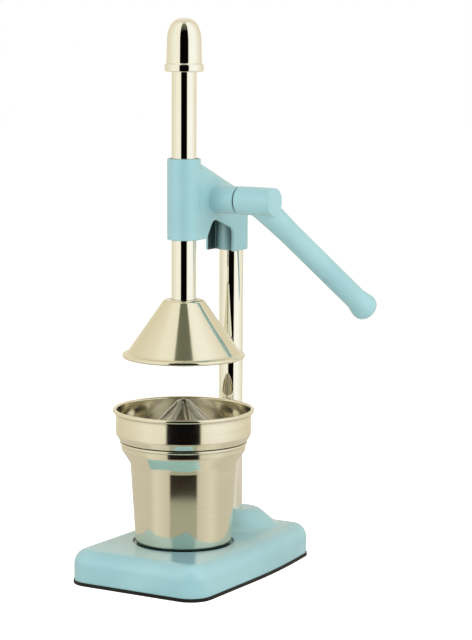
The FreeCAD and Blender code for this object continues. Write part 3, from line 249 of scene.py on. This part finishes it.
# A normal whose upward part is more than this belongs to the top of a wall, outside the hollow
UPWARD = 0.4
# How dark the painted shade in the hollow is: on the hollow's walls, on the front of the column's sleeve,
# and how much more round its sides
SHADE_ON_HOLLOW_WALLS = 0.94
SHADE_ON_SLEEVE_FRONT = 0.2
SHADE_ROUND_SLEEVE = 0.7
# The opening of a curled rim, in degrees down from outwards, and its sheet
CURL_OPEN_FROM = 175
CURL_OPEN_TO = 130
CURL_WALL = 0.5
CURL_STEPS = 192
# Points closer than this are one
MERGE_MM = 0.01


def only(obj):
    """Selects one object and makes it the active one."""
    bpy.ops.object.select_all(action="DESELECT")
    obj.select_set(True)
    bpy.context.view_layer.objects.active = obj


def apply_modifier(obj, name):
    only(obj)
    bpy.ops.object.modifier_apply(modifier=name)


def merged_copy(node, name):
    """A new piece with the node's shape, its loose triangles joined."""
    obj = bpy.data.objects.new(name, NODES[node].data.copy())
    bpy.context.scene.collection.objects.link(obj)
    only(obj)
    bpy.ops.object.mode_set(mode="EDIT")
    bpy.ops.mesh.select_all(action="SELECT")
    bpy.ops.mesh.remove_doubles(threshold=MERGE_MM * MM)
    bpy.ops.object.mode_set(mode="OBJECT")
    return obj


def wear(obj, slot_name, body):
    """Gives a new piece its smooth shading, finish and body."""
    only(obj)
    bpy.ops.object.shade_smooth()
    obj.data.materials.clear()
    obj.data.materials.append(FINISHES[slot_name])
    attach(obj, body)


def soft_casting(node, name, body, slot_name, face_mm, rounds, fillets=()):
    """The node's shape as one skin of small even faces, its edges and corners eased; the fillets
    are rods that run into it."""
    obj = merged_copy(node, name)
    only(obj)
    if fillets:
        for rod in fillets:
            rod.select_set(True)
        bpy.ops.object.join()
    skin = obj.modifiers.new("skin", "REMESH")
    skin.mode = "VOXEL"
    skin.voxel_size = face_mm * MM
    apply_modifier(obj, "skin")
    ease = obj.modifiers.new("ease", "SMOOTH")
    ease.factor = 0.5
    ease.iterations = rounds
    apply_modifier(obj, "ease")
    wear(obj, slot_name, body)
    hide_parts(node)
    return obj


def roof_fillets():
    """Rods in the upper corners of the head's hollow, along its sloping roof, which the voxel
    skin turns into the casting's inner fillets."""
    side, middle, height = ROOF_FILLET_MIDDLE
    rods = []
    for turn in (-1, 1):
        bpy.ops.object.select_all(action="DESELECT")
        bpy.ops.mesh.primitive_cylinder_add(
            vertices=32, radius=ROOF_FILLET_RADIUS * MM, depth=ROOF_FILLET_LENGTH * MM,
            location=(turn * side * MM, middle * MM, height * MM),
            rotation=(math.radians(90 - ROOF_SLOPE), 0, 0))
        bpy.ops.object.transform_apply(location=True, rotation=True, scale=True)
        rods.append(bpy.context.object)
    return rods


def mark_hollow_shade(obj):
    """Marks the inside of the head's web, which is under the casting's own roof, for a painted shade. On
    the front of the column's sleeve in it the painted shade is light where it faces forwards and deeper
    round its sides."""
    share = obj.data.attributes.new(HOLLOW, "FLOAT", "POINT")
    for point in obj.data.vertices:
        x, y = point.co.x / MM, point.co.y / MM
        between = abs(x) < HOLLOW_HALF_WIDTH and HOLLOW_FRONT < y < HOLLOW_BACK
        if not between or point.normal.z > UPWARD or math.hypot(x, y) < FRONT_SLEEVE_REACH:
            continue
        if obj.ray_cast(point.co + point.normal * MM, (0, 0, 1))[0]:
            painted_hollow_shade = SHADE_ON_HOLLOW_WALLS
            # Painted shade on the column's sleeve: light on its front, deeper round its sides
            if math.hypot(x, y - COLUMN_Y) < COLUMN_SLEEVE_REACH:
                painted_hollow_shade = SHADE_ON_SLEEVE_FRONT + SHADE_ROUND_SLEEVE * abs(point.normal.x)
            share.data[point.index].value = painted_hollow_shade


def curled_rim(name, body, radius, height, roll):
    """A spun sheet's edge, curled outwards and under into a bead of radius roll, open where the
    edge comes back to the sheet."""
    bpy.ops.object.select_all(action="DESELECT")
    bpy.ops.mesh.primitive_circle_add(vertices=24, radius=roll * MM, location=(radius * MM, 0, height * MM),
                                      rotation=(math.pi / 2, 0, 0))
    rim = bpy.context.object
    rim.name = name
    bpy.ops.object.transform_apply(location=True, rotation=True, scale=True)
    bpy.ops.object.mode_set(mode="EDIT")
    bpy.ops.mesh.select_all(action="DESELECT")
    bpy.ops.object.mode_set(mode="OBJECT")
    for point in rim.data.vertices:
        angle = math.degrees(math.atan2(point.co.z - height * MM, point.co.x - radius * MM))
        point.select = -CURL_OPEN_FROM < angle < -CURL_OPEN_TO
    bpy.ops.object.mode_set(mode="EDIT")
    bpy.ops.mesh.delete(type="VERT")
    bpy.ops.mesh.select_all(action="SELECT")
    bpy.ops.mesh.spin(steps=CURL_STEPS, angle=2 * math.pi, center=(0, 0, 0), axis=(0, 0, 1))
    bpy.ops.mesh.select_all(action="SELECT")
    bpy.ops.mesh.remove_doubles(threshold=MERGE_MM * MM)
    bpy.ops.mesh.normals_make_consistent(inside=False)
    bpy.ops.object.mode_set(mode="OBJECT")
    wall = rim.modifiers.new("wall", "SOLIDIFY")
    wall.thickness = CURL_WALL * MM
    apply_modifier(rim, "wall")
    wear(rim, "spun_steel", body)


# Studio

# The cards round the press, the table close to it and the dark gap round the camera
LIT_CARD = "F8F5E3"
BRIGHT_CARD = "FFFEF6"
FAR_CARD = "EFE9D6"
DIM_CARD = "E2DABE"
LIT_TABLE = "E3DDCB"
DIM_TABLE = "D0C9B7"
GAP = "060403"
FAR_TABLE_GAP = "2B221B"
TABLE_GAP = "ABAA95"
HIGH_GAP = "6C6F5A"
CEILING = "DAD2BA"
OUTSIDE_GAP = "000000"
INSIDE_GAP = "FFFFFF"
# What the metal mirrors all round the press, by the angle in degrees from the direction of the
# camera, turning to the picture's right
CARD_RING = [
    (-180, FAR_CARD),
    (-140, DIM_CARD),
    (-90, FAR_CARD),
    (-70, LIT_CARD),
    (28, LIT_CARD),
    (45, BRIGHT_CARD),
    (72, BRIGHT_CARD),
    (111, FAR_CARD),
    (140, DIM_CARD),
    (180, FAR_CARD),
]
TABLE_RING = [
    (-75, DIM_TABLE),
    (-60, LIT_TABLE),
    (-30, DIM_TABLE),
    (30, DIM_TABLE),
    (60, LIT_TABLE),
    (84, DIM_TABLE),
]
GAP_RING = [
    (-29, OUTSIDE_GAP),
    (-27, INSIDE_GAP),
    (27, INSIDE_GAP),
    (29, OUTSIDE_GAP),
]
# The world's light and, in metres from the press, where the table's reflection changes
SKY_LEVEL = 0.295
FLOOR_RADIUS = 6.0
CARDS_NEAR = 0.3
CARDS_FAR = 0.8
GAP_NEAR = 0.2385
GAP_FAR = 0.2425
GAP_DEEP = 0.42
FLOOR_GLOW = 0.75
# The lamps, in metres
LAMP_AIM = (0, 0.03, 0.2)
BANK_AWAY = 1.5
BANK_WIDTH = 0.9
BANK_TALL = 1.3


def ring_share(tree, direction):
    """A direction from the press as a share of the ring, with the camera's side at a half."""
    parts = add(tree, "SeparateXYZ", (direction,))
    front = add(tree, "Math", (parts.outputs[1], -1.0), 0, operation="MULTIPLY")
    angle = add(tree, "Math", (parts.outputs[0], front), 0, operation="ARCTAN2")
    turned = add(tree, "Math", (angle, 3 * math.pi - CAMERA_SIDE), 0, operation="ADD")
    wrapped = add(tree, "Math", (turned, 2 * math.pi), 0, operation="MODULO")
    return add(tree, "Math", (wrapped, 2 * math.pi), 0, operation="DIVIDE")


def ring_of(tree, share, ring):
    """A ring's colour at a share of the turn."""
    node = add(tree, "ValToRGB", (share,))
    points = node.color_ramp.elements
    while len(points) < len(ring):
        points.new(0.5)
    for point, (angle_deg, colour) in zip(points, ring):
        point.position = 0.5 + angle_deg / 360
        point.color = linear(colour)
    return node.outputs[0]


def seen_by(tree, output, soft, mirrored, camera):
    """Gives the output a soft shader for the light, one for mirrors and glass, and the camera's."""
    path = add(tree, "LightPath")
    shiny = add(tree, "Math", (path.outputs["Is Glossy Ray"], path.outputs["Is Transmission Ray"]), 0,
                operation="MAXIMUM")
    inner = add(tree, "MixShader", (shiny, soft, mirrored), 0)
    outer = add(tree, "MixShader", (path.outputs["Is Camera Ray"], inner, camera), 0)
    add(tree, output, (outer,))


def make_world():
    """Even soft light; the camera sees white, and metal the card ring with its dark gap, which
    pales with height, under a pale ceiling."""
    world = bpy.data.worlds.new("studio")
    bpy.context.scene.world = world
    world.use_nodes = True
    tree = world.node_tree
    tree.nodes.clear()
    direction = add(tree, "TexCoord", out="Generated")
    height = add(tree, "SeparateXYZ", (direction,), 2)
    share = ring_share(tree, direction)
    up = add(tree, "MapRange", (height, 0.55, 0.8, 0, 1), 0)
    gap = add(tree, "Mix", {FACTOR: up, LOW: linear(GAP), HIGH: linear(HIGH_GAP)}, MIXED, data_type="RGBA")
    cards = add(tree, "Mix", {FACTOR: ring_of(tree, share, GAP_RING), LOW: ring_of(tree, share, CARD_RING),
                              HIGH: gap}, MIXED, data_type="RGBA")
    overhead = add(tree, "MapRange", (height, 0.94, 0.99, 0, 1), 0)
    ring = add(tree, "Mix", {FACTOR: overhead, LOW: cards, HIGH: linear(CEILING)}, MIXED, data_type="RGBA")
    soft = add(tree, "Background", (linear("FFFFFF"), SKY_LEVEL), 0)
    mirrored = add(tree, "Background", (ring, 1.0), 0)
    white = add(tree, "Background", (linear("FFFFFF"), 1.0), 0)
    seen_by(tree, "OutputWorld", soft, mirrored, white)


def make_floor():
    """A white table that keeps the shadow; metal sees the lit table on it close to the press, the
    card ring further out, and the gap, which turns dark a little way from the press."""
    bpy.ops.object.select_all(action="DESELECT")
    bpy.ops.mesh.primitive_circle_add(vertices=96, radius=FLOOR_RADIUS, fill_type="NGON",
                                      location=(0, 0, -0.02 * MM))
    floor = bpy.context.object
    floor.name = "floor"
    bpy.ops.object.transform_apply(location=True, rotation=True, scale=True)
    material = bpy.data.materials.new("white_table")
    material.use_nodes = True
    tree = material.node_tree
    tree.nodes.clear()
    place = add(tree, "TexCoord", out="Object")
    away = add(tree, "VectorMath", (place,), "Value", operation="LENGTH")
    share = ring_share(tree, place)
    out = add(tree, "MapRange", (away, CARDS_NEAR, CARDS_FAR, 0, 1), 0)
    cards = add(tree, "Mix", {FACTOR: out, LOW: ring_of(tree, share, TABLE_RING),
                              HIGH: ring_of(tree, share, CARD_RING)}, MIXED, data_type="RGBA")
    deep = add(tree, "MapRange", (away, CARDS_NEAR, GAP_DEEP, 0, 1), 0)
    dark = add(tree, "Mix", {FACTOR: deep, LOW: linear(FAR_TABLE_GAP), HIGH: linear(GAP)}, MIXED,
               data_type="RGBA")
    edge = add(tree, "MapRange", (away, GAP_NEAR, GAP_FAR, 0, 1), 0)
    gap = add(tree, "Mix", {FACTOR: edge, LOW: linear(TABLE_GAP), HIGH: dark}, MIXED, data_type="RGBA")
    ring = add(tree, "Mix", {FACTOR: ring_of(tree, share, GAP_RING), LOW: cards, HIGH: gap}, MIXED,
               data_type="RGBA")
    matt = add(tree, "BsdfDiffuse", {"Color": linear("F4F4F2")}, 0)
    glow = add(tree, "Emission", (linear("FFFFFF"), FLOOR_GLOW), 0)
    lit = add(tree, "AddShader", (matt, glow), 0)
    mirrored = add(tree, "Emission", (ring, 1.0), 0)
    seen_by(tree, "OutputMaterial", matt, mirrored, lit)
    floor.data.materials.append(material)


def softbox(name, place, aim, width, height, watts):
    """A large area lamp that shines at a point and isn't mirrored."""
    data = bpy.data.lights.new(name, "AREA")
    data.shape = "RECTANGLE"
    data.size = width
    data.size_y = height
    data.energy = watts
    lamp = bpy.data.objects.new(name, data)
    lamp.location = place
    lamp.rotation_mode = "QUATERNION"
    lamp.rotation_quaternion = (Vector(aim) - Vector(place)).to_track_quat("-Z", "Y")
    lamp.visible_glossy = False
    lamp.visible_camera = False
    bpy.context.scene.collection.objects.link(lamp)


def bank(name, side_deg, height, watts):
    """A softbox beside the press, at an angle from the camera's direction."""
    turn = CAMERA_SIDE + math.radians(side_deg)
    place = Vector((BANK_AWAY * math.sin(turn), -BANK_AWAY * math.cos(turn), height))
    softbox(name, place, LAMP_AIM, BANK_WIDTH, BANK_TALL, watts)


def make_camera():
    """The photograph's view, turned a little round its own axis, with no shift."""
    data = bpy.data.cameras.new("camera")
    data.lens = LENS_MM
    data.sensor_width = FRAME_MM
    data.clip_start = 0.05
    data.clip_end = 100
    camera = bpy.data.objects.new("camera", data)
    back = Vector((math.sin(VIEW_AZIMUTH) * math.cos(VIEW_ELEVATION),
                   -math.cos(VIEW_AZIMUTH) * math.cos(VIEW_ELEVATION), math.sin(VIEW_ELEVATION)))
    camera.location = CAMERA_PLACE
    camera.rotation_mode = "QUATERNION"
    camera.rotation_quaternion = Quaternion(back, VIEW_ROLL) @ (-back).to_track_quat("-Z", "Y")
    bpy.context.scene.collection.objects.link(camera)
    bpy.context.scene.camera = camera


for make in (make_enamel, make_chrome, make_spun_steel, make_rubber, make_plated_screws, make_gear_steel,
             make_bronze, make_acetal, make_cast_aluminium):
    make()
paint_nodes()
head = soft_casting("head_casting", "head_shell", "stand", "enamel", face_mm=0.67, rounds=5,
                    fillets=roof_fillets())
mark_hollow_shade(head)
soft_casting("lever_casting", "lever_arm", "lever", "enamel", face_mm=0.45, rounds=7)
soft_casting("reamer", "reamer_dome", "cup_set", "cast_aluminium", face_mm=0.5, rounds=3)
curled_rim("cup_rim", "cup_set", radius=50.3, height=110.5, roll=1.6)
curled_rim("cone_rim", "ram", radius=48.2, height=181.6, roll=1.7)
make_world()
make_floor()
bank("left_bank", -62, 0.7, 10)
bank("right_bank", 72, 0.7, 9.5)
bank("front_bank", 20, 0.6, 6.5)
softbox("top_bank", (0, 0, 1.9), LAMP_AIM, 1.4, 1.4, 11)
make_camera()
bpy.context.scene.view_settings.view_transform = "Standard"
